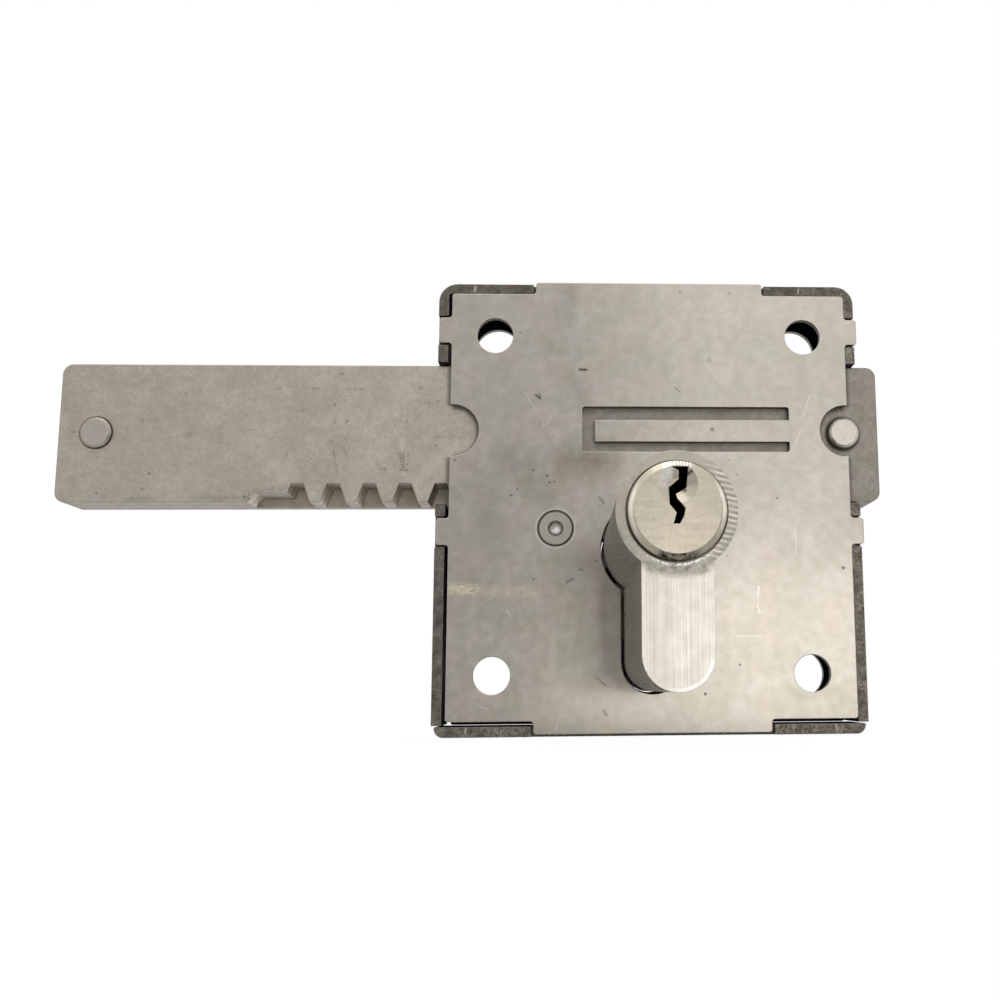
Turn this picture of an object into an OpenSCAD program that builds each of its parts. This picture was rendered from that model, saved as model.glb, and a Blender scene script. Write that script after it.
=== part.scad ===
// Gate deadbolt: a flat case with a long laminated bolt, driven through a rack by the gear
// of a profile cylinder. The bolt is drawn thrown to the left, as a locked gate has it.
// The origin is the centre of the four fixing holes on the front plate's outer face:
// +X to the right, +Y into the case, +Z up.

/* [Case] */
// Width of the plates between the side walls
plate_w = 71; // [66:0.5:80]
// Height of the plates between the top and bottom walls
plate_h = 75.4; // [74:0.2:90]
// Thickness of the front and back plates
plate_t = 1.5; // [1:0.1:2.5]
// Thickness of the dark wall band and of the bottom strip
wall_t = 1.75; // [1.2:0.05:2.4]
// Outer bend radius of the wall band
bend_r = 3.3; // [2.8:0.1:5]
// Inner bend radius of the wall band
bend_in_r = 0.4; // [0.1:0.1:0.5]
// Gap between the plates and the left wall
left_gap = 0.65; // [0.05:0.05:1]
// Gap between the plates and the right wall
right_gap = 0.05; // [0.05:0.05:1]
// Gap between the plates and the top wall
top_gap = 0.1; // [0.05:0.05:0.5]
// Distance by which the wall band's edges stay below the plates' outer faces
band_recess = 0.2; // [0:0.05:0.5]
// Width of the top and bottom tabs of the plates
tab_w = 41; // [20:1:46]
// Height of the side tabs of the plates
side_tab_h = 4.6; // [3:0.2:7]
// Reach of the tabs beyond the plates' edges
tab_reach = 2.2; // [1:0.1:3]
// Height of the upper side tabs' centre above the origin
upper_tab_z = 30.95; // [29:0.25:33]
// Height of the lower side tabs' centre above the origin
lower_tab_z = -5.25; // [-8:0.25:-4.5]
// Gap between each tab and the end of its notch in the walls
tab_gap = 0.45; // [0.1:0.05:0.8]
// Gap between the plates' lower edge and the bottom strip
strip_gap = 0.85; // [0.3:0.05:2]
// Gap between the side walls' lower ends and the bottom strip
leg_gap = 0.25; // [0.1:0.05:0.3]
// Gap between the back plate's lower edge and the bottom strip
back_strip_gap = 0.1; // [0.05:0.05:0.3]
// Distance by which the bottom strip's ends stay inside the walls' outer faces
strip_inset = 0.5; // [0.1:0.1:1]

/* [Fixing holes] */
// Distance of the fixing holes from the plates' side edges
hole_inset_x = 7.75; // [6:0.25:9]
// Distance of the fixing holes from the plates' upper and lower edges
hole_inset_z = 7.7; // [6.5:0.1:8.5]
// Diameter of the fixing holes in the front plate
hole_d = 6.4; // [4:0.1:7]
// Diameter of the wider holes behind them in the back plate
back_hole_d = 8.5; // [6.5:0.1:10]

/* [Front plate openings] */
// Radius of the half-round notches that the bolt's pins run into
pin_notch_r = 4.65; // [3.8:0.05:6]
// Distance of the notches' centres inside the plates' side edges
pin_notch_inset = 0.4; // [0:0.1:0.8]
// Height of the notches above the bolt's centre line
pin_notch_rise = 0.3; // [0:0.1:0.5]
// Height of the spring tongue's outer slot
slot_h = 8.15; // [7.5:0.1:11]
// Distance of the slot's left end from the plate's left edge
slot_inset = 23.3; // [20:0.1:26]
// Distance of the slot's right end from the plate's right edge
slot_stop = 10.6; // [9:0.1:16]
// Height of the slot's centre above the bolt's centre line
slot_rise = 0.5; // [-1:0.1:1]
// Height of the spring tongue
tongue_h = 3.9; // [2.5:0.1:4.5]
// Gap beyond the tongue's free end
tongue_gap = 2.3; // [1:0.1:4]
// Gap below the tongue
tongue_drop = 1.85; // [1.2:0.05:2.2]
// Distance by which the tongue's free end is pressed in
tongue_press = 0.18; // [0.05:0.01:0.2]

/* [Bolt] */
// Height of the bolt
bolt_h = 24.6; // [22:0.2:26]
// Thickness of each of the bolt's two toothed layers
layer_t = 4; // [3.5:0.1:5]
// Thickness of the bolt's plain rear layer
rear_t = 2.5; // [1.5:0.1:4]
// Distance by which the thrown bolt stands out of the plates' left edge
bolt_out = 68.25; // [67:0.25:72]
// Distance by which its other end stands out of the plates' right edge
bolt_tail = 5.75; // [5:0.25:6.5]
// Radius of the bolt's corners
bolt_corner_r = 1.8; // [0.5:0.1:3]
// Clearance between the bolt's faces and the plates
bolt_gap = 0.3; // [0.25:0.05:0.6]
// Clearance between the bolt's edges and the notches in the side walls
guide_gap = 0.4; // [0.2:0.05:0.6]
// Diameter of the two pins through the bolt
pin_d = 5.4; // [5:0.1:6.6]
// Distance of each pin's centre from its end of the bolt
pin_inset = 6.4; // [6:0.1:7.4]
// Height of the left pin above the bolt's front face
nose_pin_proud = 0.8; // [0.5:0.1:1.5]
// Height of the right pin above the bolt's front face
stop_pin_proud = 1.8; // [0.8:0.1:2.5]
// Chamfer on the pins' ends
pin_chamfer = 0.4; // [0.1:0.05:0.7]

/* [Rack and gear] */
// Number of the gear's teeth
teeth = 10; // [10:1:10]
// Pitch radius of the gear
pitch_r = 10; // [9.8:0.1:10.3]
// Height of the rack's teeth below the pitch line
rack_tip = 1.5; // [1.2:0.05:1.6]
// Depth of the rack's gaps above the pitch line
rack_root = 1.85; // [1.6:0.05:2.4]
// Width of the rack's gaps at the pitch line
rack_gap_w = 3.5; // [3.4:0.05:3.8]
// Flank angle of the teeth
flank_angle = 20; // [19:0.5:21]
// Number of gaps in the rack
rack_gaps = 12; // [12:1:14]
// Distance of the first gap to the left of the cylinder's axis
rack_reach = 62.2; // [62:0.05:62.8]
// Length of the relief before the first gap
relief_l = 8.5; // [8.3:0.1:12]
// Depth of the relief before the first gap
relief_h = 1.6; // [1.55:0.05:2]
// Thickness of the gear's teeth at the pitch circle
tooth_t = 2.95; // [2.6:0.05:3]
// Height of the gear's teeth above the pitch circle
gear_tip = 1.2; // [1.05:0.05:1.25]
// Depth of the gear's gaps below the pitch circle
gear_root = 1.85; // [1.75:0.05:2.2]

/* [Cylinder] */
// Depth of the cylinder's axis below the origin
axis_drop = 8.35; // [8:0.05:8.6]
// Diameter of the cylinder's round part
round_d = 17; // [16:0.5:18]
// Width of the cylinder's stem
stem_w = 10; // [9:0.5:11]
// Height of the whole profile
profile_h = 33; // [32:0.5:34]
// Length from the gear's centre to the cylinder's front face
front_half = 60; // [45:5:75]
// Length from the gear's centre to the cylinder's back face
back_half = 30; // [30:5:60]
// Width of the gap between the cylinder's halves
cam_slot_w = 10; // [9.8:0.1:10.6]
// Depth of that gap below the axis
cam_slot_drop = 15.5; // [14:0.5:17]
// Diameter of the threaded hole for a fixing screw between the halves
fix_hole_d = 4.2; // [3:0.1:5]
// Clearance round the cylinder in the front plate
cutout_gap = 0.45; // [0.2:0.05:0.8]
// Clearance round the cylinder in the back plate
back_cutout_gap = 0.15; // [0.1:0.05:0.8]
// Diameter of the plugs
plug_d = 13; // [12.6:0.1:13.2]
// Diameter of the plugs' heads
head_d = 13.8; // [13.6:0.1:14.8]
// Height of the plugs' heads in front of the body
head_proud = 2; // [1:0.1:3]
// Width of the bevel round the heads
head_bevel = 0.9; // [0.4:0.1:1.2]
// Depth of the heads' seats in the body
seat_h = 1.2; // [0.8:0.1:2]
// Running clearance round the plugs
plug_gap = 0.04; // [0.02:0.01:0.08]

/* [Keyway] */
// Wall left above the keyway
key_wall = 0.55; // [0.4:0.05:1]
// Height of the keyway
key_h = 7.9; // [7:0.1:8.2]
// Width of the keyway over all
key_w = 2.65; // [2.2:0.05:2.8]
// Radius of the lead-in cone
lead_r = 2.75; // [2:0.05:3]
// Depth of the lead-in cone
lead_h = 1.2; // [0.5:0.1:2]
// Distance of the lead-in's centre below the keyway's top
lead_drop = 2.4; // [2:0.1:3]

/* [Pins and springs] */
// Diameter of the pin chambers
chamber_d = 3; // [2.6:0.1:3.2]
// Clearance round the pins in their chambers
chamber_gap = 0.05; // [0.03:0.01:0.1]
// Distance between the chambers
chamber_pitch = 3.8; // [3.7:0.05:3.85]
// Distance of the first chamber from the cylinder's end
chamber_start = 5; // [4.5:0.25:5]
// Length of the driver pins
driver_l = 5.5; // [4:0.25:6.5]
// Length of the plugs that close the chambers
stopper_l = 2; // [1.5:0.1:3]
// Wall thickness of the sleeves that stand for the coil springs
spring_wall = 0.4; // [0.3:0.05:0.6]

/* [Clutch and circlips] */
// Radius of the clutch pieces
clutch_r = 4.5; // [4:0.1:4.8]
// Reach of the clutch pieces' bars
bar_r = 5.5; // [5.2:0.1:5.6]
// Width of the clutch pieces' bars
bar_w = 3; // [2.5:0.1:3.5]
// Thickness of the clutch pieces' bars
bar_t = 4; // [3.4:0.1:4.2]
// Running clearance of the clutch pieces in the gear
clutch_gap = 0.05; // [0.03:0.01:0.08]
// Thickness of the circlips
clip_t = 0.8; // [0.6:0.1:0.9]
// Radial width of the circlips
clip_w = 1.9; // [1.5:0.1:2.1]
// Depth of the circlips' grooves in the plugs
groove_depth = 0.8; // [0.6:0.05:0.9]

/* [Pillar and screws] */
// Distance of the pillar to the left of the cylinder's axis
pillar_reach = 16.85; // [16.6:0.05:19]
// Height of the pillar above the cylinder's axis
pillar_rise = 3.65; // [0:0.25:4]
// Diameter of the pillar
pillar_d = 8; // [7:0.25:8.5]
// Diameter of the screws' threads
screw_d = 3; // [2.5:0.5:3]
// Length of the screws' threads
screw_l = 5; // [3:0.25:5.25]
// Width across the flats of the screws' sockets
socket_af = 2; // [1.5:0.1:2.3]
// Depth of the sockets
socket_h = 1.1; // [0.8:0.1:1.3]
// Gap round the screws' heads and threads
screw_gap = 0.05; // [0.03:0.01:0.1]

/* [Hidden] */
$fn = 96;
cut = 1;                                   // how far a cutting shape runs past a face
sliver = 0.001;                            // overlap of shapes that only touch
arc_steps = 8;                             // straight stretches in a rounded corner

// Depths, measured inwards from the front plate's outer face
bolt_t = 2 * layer_t + rear_t;
bolt_y = plate_t + bolt_gap;
back_y = bolt_y + bolt_t + bolt_gap;       // inner face of the back plate
case_t = back_y + plate_t;
band_y0 = band_recess;
band_y1 = case_t - band_recess;
cam_y = bolt_y + layer_t;                  // centre of the gear
face_gap = 0.3;                            // clearance beside the gear
end_gap = 0.2;                             // clearance between the gear and the plugs' inner ends
gear_w = 2 * (layer_t - face_gap);
plug_end = gear_w / 2 + end_gap;           // distance of the plugs' inner ends from the gear's centre

// Heights and widths
axis_z = -axis_drop;
round_r = round_d / 2;
plate_r = plate_w / 2;
plate_top = plate_h / 2;
hole_x = plate_r - hole_inset_x;
hole_z = plate_top - hole_inset_z;
pitch_z = axis_z + pitch_r;
bolt_z = pitch_z - rack_tip;
bolt_mid = bolt_z + bolt_h / 2;
bolt_x = -plate_r - bolt_out;
bolt_l = bolt_out + plate_w + bolt_tail;
nose_pin_x = bolt_x + pin_inset;
stop_pin_x = bolt_x + bolt_l - pin_inset;
wall_in_l = -plate_r - left_gap;
wall_in_r = plate_r + right_gap;
wall_in_t = plate_top + top_gap;
strip_top = -plate_top - strip_gap;
leg_end = strip_top + leg_gap;
relief_ramp = 1.3;                         // length of the relief's slope
slot_x = -plate_r + slot_inset;
slot_l = plate_w - slot_inset - slot_stop;
slot_z = bolt_mid + slot_rise - slot_h / 2;
slot_corner_r = 0.5;
tongue_z = slot_z + tongue_drop;
tongue_root = 0.5;                         // overlap of the tongue's root with the plate
pillar_x = -pillar_reach;
pillar_z = axis_z + pillar_rise;
head_cone = plate_t;                       // the screw's head fills the plate's thickness
screw_head_r = screw_d / 2 + head_cone;
stem_r = stem_w / 2;
stem_end = profile_h - round_r;            // depth of the stem's end below the axis
stem_flat = 0.02;                          // half width of the flat that is left at the stem's end
front_y = cam_y - front_half;
rear_y = cam_y + back_half;
plug_r = plug_d / 2;
bore_r = plug_r + plug_gap;
head_r = head_d / 2;
head_gap = 0.2;                            // clearance round the heads in their seats
seat_play = 0.1;                           // clearance between the heads and their seats' floors
key_top = plug_r - key_wall;
pin_r = chamber_d / 2 - chamber_gap;
pin_point = 0.8;                           // height of the key pins' cones
shear = sqrt(plug_r * plug_r - pin_r * pin_r);
driver_top = bore_r + chamber_gap;
stopper_end = stem_end - 0.2;              // depth of the stoppers' ends below the axis
front_pin_cuts = [5.2, 4.6, 5.6, 4.9, 5.4, 4.3];   // lengths of the front key pins
back_pin_cuts = [4.8, 5.3, 4.5, 5.5, 5.0];         // lengths of the back key pins
pitch = 2 * PI * pitch_r / teeth;
rack_x = -rack_reach;
gear_turn = (rack_x + 10 * pitch) / pitch_r * 180 / PI;  // turns a tooth into the gap above the axis
base_r = pitch_r * cos(flank_angle);
waist = 2.2;                               // degrees a tooth narrows by per mm below the base circle
clip_in = plug_r - groove_depth + 0.1;     // inner radius of the circlips
clip_y = 0.15;                             // play between a circlip and the cylinder's body
clip_open = 22;                            // half angle of a circlip's opening
bar_gap = 0.1;                             // clearance round the clutch pieces' bars
bar_play = 0.3;                            // length of a plug's slot beyond its clutch piece's bar
nose_start = 1.5;                          // distance of a clutch piece's round part from its bar's end
nose_l = 2.2;                              // reach of that round part beyond the bar
nose_bore = 2.8;                           // depth of the round bore for it in a plug
engaged = 1.3;                             // depth of the front clutch piece's bar inside its plug
slot_half = cam_slot_w / 2;

// Corners of the zigzag keyway: shares of its width to the right, shares of its height below its top
keyway_points = [
    [0.56, 0], [0.48, 0.355], [-0.08, 0.468], [-0.02, 0.557], [0.39, 0.734], [0.31, 0.861], [0.09, 1],
    [-0.25, 1], [-0.08, 0.81], [-0.44, 0.658], [-0.44, 0.355], [0.09, 0.2], [0.07, 0.06], [-0.36, 0]
];

// Points of an arc that rounds the corner p between its neighbours a and b
function corner(a, p, b, r) =
    let (u = (a - p) / norm(a - p), v = (b - p) / norm(b - p), half = acos(u * v) / 2)
    let (c = p + (u + v) / norm(u + v) * r / sin(half), s = p + u * r / tan(half) - c)
    let (e = p + v * r / tan(half) - c, from = atan2(s.y, s.x))
    let (turn = (atan2(e.y, e.x) - from + 540) % 360 - 180)
    [for (i = [0:arc_steps]) c + r * [cos(from + turn * i / arc_steps), sin(from + turn * i / arc_steps)]];

// Outline through points [x, z, corner radius]
function rounded(path) =
    let (n = len(path), flat = [for (p = path) [p.x, p.y]])
    [for (i = [0:n - 1]) each path[i][2] > 0
        ? corner(flat[(i + n - 1) % n], flat[i], flat[(i + 1) % n], path[i][2])
        : [flat[i]]];

// Half angle of a gear tooth at radius r: an involute above the base circle, waisted below it
function involute(a) = tan(a) * 180 / PI - a;
function tooth_half(r) =
    let (at_pitch = tooth_t / 2 / pitch_r * 180 / PI, at_base = at_pitch + involute(flank_angle))
    r > base_r ? at_base - involute(acos(base_r / r)) : at_base - (base_r - r) * waist;

// Solid between two depths, with its outline drawn in X and Z
module slab(y0, y1) {
    translate([0, y1, 0]) rotate([90, 0, 0]) linear_extrude(y1 - y0) children();
}

// Round solid along Y between two depths
module rod(x, z, y0, y1, r0, r1 = 0) {
    translate([x, y0, z]) rotate([-90, 0, 0]) cylinder(h = y1 - y0, r1 = r0, r2 = r1 > 0 ? r1 : r0);
}

module rect(x0, z0, x1, z1) {
    translate([x0, z0]) square([x1 - x0, z1 - z0]);
}

// Profile of the cylinder between two depths, grown by g all round
module profile(g, y0, y1) {
    r = stem_r + g;
    end = axis_z - stem_end - g;
    end_r = r - stem_flat;
    rod(0, axis_z, y0, y1, round_r + g);
    slab(y0, y1) polygon(rounded([[-r, axis_z, 0], [r, axis_z, 0], [r, end, end_r], [-r, end, end_r]]));
}

// Outline of a plate with its tabs and small radii where the tabs start
module plate_outline(bottom = -plate_top) {
    t = tab_w / 2;
    out_x = plate_r + tab_reach;
    out_z = plate_top + tab_reach;
    inner = 0.6;
    outer = 0.5;
    uh = upper_tab_z + side_tab_h / 2;
    ul = upper_tab_z - side_tab_h / 2;
    lh = lower_tab_z + side_tab_h / 2;
    ll = lower_tab_z - side_tab_h / 2;
    right = [
        [t, out_z, outer], [t, plate_top, inner], [plate_r, plate_top, outer],
        [plate_r, uh, inner], [out_x, uh, outer], [out_x, ul, outer], [plate_r, ul, inner],
        [plate_r, lh, inner], [out_x, lh, outer], [out_x, ll, outer], [plate_r, ll, inner],
        [plate_r, bottom, outer], [t, bottom, inner], [t, -out_z, outer]
    ];
    left = [for (i = [len(right) - 1:-1:0]) [-right[i].x, right[i].y, right[i][2]]];
    polygon(rounded(concat(right, left)));
}

module fixing_holes(d) {
    for (x = [-hole_x, hole_x], z = [-hole_z, hole_z])
        translate([x, z]) circle(d = d);
}

// Spring tongue, bent slightly inwards towards its free end
module tongue() {
    x0 = slot_x + tongue_gap;
    x1 = slot_x + slot_l;
    x2 = x1 + tongue_root;
    translate([0, 0, tongue_z]) linear_extrude(tongue_h) polygon([
        [x0, tongue_press], [x1, 0], [x2, 0], [x2, plate_t], [x1, plate_t], [x0, plate_t + tongue_press]
    ]);
}

module front_plate() {
    c = slot_corner_r;
    x1 = slot_x + slot_l;
    z1 = slot_z + slot_h;
    color("#a8a49c") {
        difference() {
            slab(0, plate_t) difference() {
                plate_outline();
                fixing_holes(hole_d);
                for (side = [-1, 1])
                    translate([side * (plate_r - pin_notch_inset), bolt_mid + pin_notch_rise])
                        circle(pin_notch_r);
                polygon(rounded([[slot_x, slot_z, c], [x1, slot_z, c], [x1, z1, c], [slot_x, z1, c]]));
            }
            profile(cutout_gap, -cut, plate_t + cut);
            rod(pillar_x, pillar_z, -sliver, plate_t + sliver, screw_head_r + screw_gap,
                screw_d / 2 + screw_gap);
        }
        tongue();
    }
}

module back_plate() {
    color("#a8a49c") difference() {
        slab(back_y, case_t) difference() {
            plate_outline(strip_top + back_strip_gap);
            fixing_holes(back_hole_d);
        }
        profile(back_cutout_gap, back_y - cut, case_t + cut);
        rod(pillar_x, pillar_z, back_y - sliver, case_t + sliver, screw_d / 2 + screw_gap,
            screw_head_r + screw_gap);
    }
}

// Slots in the walls' edges for the tabs of both plates
module tab_slots(x0, z0, x1, z1) {
    slab(band_y0 - cut, plate_t) rect(x0, z0, x1, z1);
    slab(back_y, band_y1 + cut) rect(x0, z0, x1, z1);
}

module case_band() {
    l = wall_in_l - wall_t;
    r = wall_in_r + wall_t;
    t = wall_in_t + wall_t;
    inner_r = bend_in_r;
    color("#4a4640") difference() {
        slab(band_y0, band_y1) polygon(rounded([
            [l, leg_end, 0], [l, t, bend_r], [r, t, bend_r], [r, leg_end, 0],
            [wall_in_r, leg_end, 0], [wall_in_r, wall_in_t, inner_r],
            [wall_in_l, wall_in_t, inner_r], [wall_in_l, leg_end, 0]
        ]));
        slab(band_y0 - cut, back_y) polygon(rounded([
            [l - cut, bolt_z - guide_gap, 0], [r + cut, bolt_z - guide_gap, 0],
            [r + cut, bolt_z + bolt_h + guide_gap, 0], [l - cut, bolt_z + bolt_h + guide_gap, 0]
        ]));
        tab_slots(-tab_w / 2 - tab_gap, wall_in_t - cut, tab_w / 2 + tab_gap, t + cut);
        for (z = [upper_tab_z, lower_tab_z])
            tab_slots(l - cut, z - side_tab_h / 2 - tab_gap, r + cut, z + side_tab_h / 2 + tab_gap);
    }
}

module bottom_strip() {
    l = wall_in_l - wall_t + strip_inset;
    r = wall_in_r + wall_t - strip_inset;
    b = strip_top - wall_t;
    corner_r = wall_t - 0.15;
    color("#4a4640") difference() {
        slab(band_y0, band_y1)
            polygon(rounded([[l, strip_top, 0], [r, strip_top, 0], [r, b, corner_r], [l, b, corner_r]]));
        tab_slots(-tab_w / 2 - tab_gap, b - cut, tab_w / 2 + tab_gap, strip_top + cut);
    }
}

module spacer_pillar() {
    color("#b0aca4") difference() {
        rod(pillar_x, pillar_z, plate_t, back_y, pillar_d / 2);
        rod(pillar_x, pillar_z, plate_t - cut, back_y + cut, screw_d / 2 + screw_gap);
    }
}

// Countersunk screw with its head's face at y = 0
module countersunk_screw() {
    difference() {
        union() {
            rod(0, 0, 0, head_cone, screw_head_r, screw_d / 2);
            rod(0, 0, head_cone - sliver, head_cone + screw_l, screw_d / 2);
        }
        translate([0, -cut, 0]) rotate([-90, 0, 0])
            cylinder(h = cut + socket_h, d = socket_af / cos(30), $fn = 6);
    }
}

module case_screws() {
    color("#b9b5ad") {
        translate([pillar_x, 0, pillar_z]) countersunk_screw();
        translate([pillar_x, case_t, pillar_z]) mirror([0, 1, 0]) countersunk_screw();
    }
}

module bolt_outline() {
    x1 = bolt_x + bolt_l;
    z1 = bolt_z + bolt_h;
    c = bolt_corner_r;
    polygon(rounded([[bolt_x, bolt_z, c], [x1, bolt_z, c], [x1, z1, c], [bolt_x, z1, c]]));
}

module bolt_pin_holes() {
    for (x = [nose_pin_x, stop_pin_x])
        translate([x, bolt_mid]) circle(d = pin_d + 2 * screw_gap);
}

// Gaps of the rack and the relief that clears the gear before the first of them
module rack_cuts() {
    mouth = rack_gap_w / 2 + (rack_tip + cut) * tan(flank_angle);
    root = rack_gap_w / 2 - rack_root * tan(flank_angle);
    for (i = [0:rack_gaps - 1])
        translate([rack_x + i * pitch, pitch_z]) polygon([
            [-mouth, -rack_tip - cut], [mouth, -rack_tip - cut], [root, rack_root], [-root, rack_root]
        ]);
    polygon([
        [rack_x - relief_l - relief_ramp / relief_h * cut, bolt_z - cut], [rack_x, bolt_z - cut],
        [rack_x, bolt_z + relief_h], [rack_x - relief_l + relief_ramp, bolt_z + relief_h]
    ]);
}

module toothed_layer(y) {
    color("#9a948b") slab(y, y + layer_t) difference() {
        bolt_outline();
        bolt_pin_holes();
        rack_cuts();
    }
}

module bolt_front_layer() {
    toothed_layer(bolt_y);
}

module bolt_middle_layer() {
    toothed_layer(bolt_y + layer_t);
}

module bolt_rear_layer() {
    color("#9a948b") slab(bolt_y + 2 * layer_t, bolt_y + bolt_t) difference() {
        bolt_outline();
        bolt_pin_holes();
    }
}

module bolt_pin(x, proud) {
    r = pin_d / 2;
    color("#b5b0a8") {
        rod(x, bolt_mid, bolt_y - proud, bolt_y - proud + pin_chamfer, r - pin_chamfer, r);
        rod(x, bolt_mid, bolt_y - proud + pin_chamfer - sliver, bolt_y + bolt_t, r);
    }
}

module nose_pin() {
    bolt_pin(nose_pin_x, nose_pin_proud);
}

module stop_pin() {
    bolt_pin(stop_pin_x, stop_pin_proud);
}

// Chambers of one half of the cylinder, from the depth y0 along direction dir
module chambers(y0, dir, count, z0, z1, r) {
    for (i = [0:count - 1])
        translate([0, y0 + dir * (chamber_start + i * chamber_pitch), axis_z + z0])
            cylinder(h = z1 - z0, r = r);
}

module cylinder_body() {
    color("#c9c7bd") difference() {
        profile(0, front_y, rear_y);
        rod(0, axis_z, front_y - cut, rear_y + cut, bore_r);
        rod(0, axis_z, front_y - cut, front_y + seat_h, head_r + head_gap);
        rod(0, axis_z, rear_y - seat_h, rear_y + cut, head_r + head_gap);
        slab(cam_y - slot_half, cam_y + slot_half)
            rect(-round_r - cut, axis_z - cam_slot_drop, round_r + cut, axis_z + round_r + cut);
        chambers(front_y, 1, len(front_pin_cuts), -stem_end - cut, -plug_r + cut, chamber_d / 2);
        chambers(rear_y, -1, len(back_pin_cuts), -stem_end - cut, -plug_r + cut, chamber_d / 2);
        translate([-stem_r - cut, cam_y, axis_z - (cam_slot_drop + stem_end) / 2]) rotate([0, 90, 0])
            cylinder(h = stem_w + 2 * cut, d = fix_hole_d);
    }
}

module keyway() {
    polygon([for (p = keyway_points) [p.x * key_w, key_top - p.y * key_h]]);
}

// Plug drawn along +Y from its head's face at 0, with its shoulder against the body at head_proud
module plug(half, cuts) {
    total = head_proud + half - plug_end;
    slot_depth = bar_t + bar_play;
    bar_half = bar_w / 2 + bar_gap;
    clip_at = head_proud + half - slot_half + clip_y;
    difference() {
        union() {
            rod(0, 0, 0, head_bevel, head_r - head_bevel, head_r);
            rod(0, 0, head_bevel - sliver, head_proud + seat_h - seat_play, head_r);
            rod(0, 0, head_proud, total, plug_r);
        }
        slab(-cut, total - slot_depth) keyway();
        rod(0, key_top - lead_drop, -sliver, lead_h, lead_r, lead_r / 3);
        difference() {
            rod(0, 0, clip_at, clip_at + clip_t, plug_r + cut);
            rod(0, 0, clip_at - cut, clip_at + clip_t + cut, plug_r - groove_depth);
        }
        slab(total - slot_depth, total + cut) rect(-plug_r - cut, -bar_half, plug_r + cut, bar_half);
        rod(0, 0, total - nose_bore, total + cut, clutch_r + bar_gap);
        translate([0, head_proud, 0]) for (i = [0:len(cuts) - 1])
            translate([0, chamber_start + i * chamber_pitch, -plug_r - cut])
                cylinder(h = plug_r + cut, d = chamber_d);
    }
}

module front_plug() {
    color("#cfcbc0") translate([0, front_y - head_proud, axis_z]) plug(front_half, front_pin_cuts);
}

module back_plug() {
    color("#cfcbc0") translate([0, rear_y + head_proud, axis_z]) mirror([0, 1, 0])
        plug(back_half, back_pin_cuts);
}

// Outline of the gear, anticlockwise: both flanks of each tooth, then three points of the root circle
module gear_outline() {
    root_r = pitch_r - gear_root;
    tip_r = pitch_r + gear_tip;
    step = 360 / teeth;
    radii = concat([root_r, (root_r + base_r) / 2], [for (i = [0:5]) base_r + (tip_r - base_r) * i / 5]);
    flank = [for (r = radii) [r, tooth_half(r)]];
    other = [for (i = [len(flank) - 1:-1:0]) [flank[i].x, -flank[i].y]];
    w = tooth_half(root_r);
    floor_points = [for (i = [1:3]) [root_r, -w - (step - 2 * w) * i / 4]];
    polygon([for (k = [0:teeth - 1], p = concat(flank, other, floor_points))
        let (a = gear_turn + p.y - k * step) p.x * [sin(a), cos(a)]]);
}

module gear_cam() {
    y0 = cam_y - gear_w / 2;
    y1 = cam_y + gear_w / 2;
    bar_half = bar_w / 2 + bar_gap;
    color("#b9a878") translate([0, 0, axis_z]) difference() {
        slab(y0, y1) gear_outline();
        rod(0, 0, y0 - cut, y1 + cut, clutch_r + clutch_gap);
        slab(y0 - cut, y1 + cut) rect(-bar_r - bar_gap, -bar_half, bar_r + bar_gap, bar_half);
    }
}

// Clutch piece along +Y: its bar starts at y = 0 and its round nose leads
module clutch() {
    slab(0, bar_t) rect(-bar_r, -bar_w / 2, bar_r, bar_w / 2);
    rod(0, 0, nose_start, bar_t + nose_l, clutch_r);
}

module front_clutch() {
    color("#8f8b84") translate([0, cam_y - plug_end - engaged, axis_z]) clutch();
}

module back_clutch() {
    color("#8f8b84") translate([0, cam_y + plug_end + bar_t + bar_gap, axis_z]) mirror([0, 1, 0]) clutch();
}

// Open ring that holds a plug in the body
module circlip(y) {
    far = 2 * round_r;
    color("#6e6a64") translate([0, 0, axis_z]) slab(y, y + clip_t) difference() {
        circle(clip_in + clip_w);
        circle(clip_in);
        polygon([[0, 0], far * [-sin(clip_open), cos(clip_open)], far * [sin(clip_open), cos(clip_open)]]);
    }
}

module front_circlip() {
    circlip(cam_y - slot_half + clip_y);
}

module back_circlip() {
    circlip(cam_y + slot_half - clip_y - clip_t);
}

// Pins that ride in a plug, held at the shear line as a key holds them
module key_pins(y0, dir, cuts) {
    color("#c8a855") for (i = [0:len(cuts) - 1])
        translate([0, y0 + dir * (chamber_start + i * chamber_pitch), axis_z - shear]) {
            cylinder(h = cuts[i] - pin_point, r = pin_r);
            translate([0, 0, cuts[i] - pin_point - sliver])
                cylinder(h = pin_point, r1 = pin_r, r2 = pin_r - pin_point);
        }
}

module front_key_pins() {
    key_pins(front_y, 1, front_pin_cuts);
}

module back_key_pins() {
    key_pins(rear_y, -1, back_pin_cuts);
}

module driver_pins(y0, dir, cuts) {
    color("#c8a855") chambers(y0, dir, len(cuts), -driver_top - driver_l, -driver_top, pin_r);
}

module front_driver_pins() {
    driver_pins(front_y, 1, front_pin_cuts);
}

module back_driver_pins() {
    driver_pins(rear_y, -1, back_pin_cuts);
}

module springs(y0, dir, cuts) {
    bottom = -stopper_end + stopper_l;
    top = -driver_top - driver_l;
    color("#9c9c9c") difference() {
        chambers(y0, dir, len(cuts), bottom, top, pin_r);
        chambers(y0, dir, len(cuts), bottom - cut, top + cut, pin_r - spring_wall);
    }
}

module front_springs() {
    springs(front_y, 1, front_pin_cuts);
}

module back_springs() {
    springs(rear_y, -1, back_pin_cuts);
}

module stoppers(y0, dir, cuts) {
    color("#c8a855") chambers(y0, dir, len(cuts), -stopper_end, -stopper_end + stopper_l, pin_r);
}

module front_stoppers() {
    stoppers(front_y, 1, front_pin_cuts);
}

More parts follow.
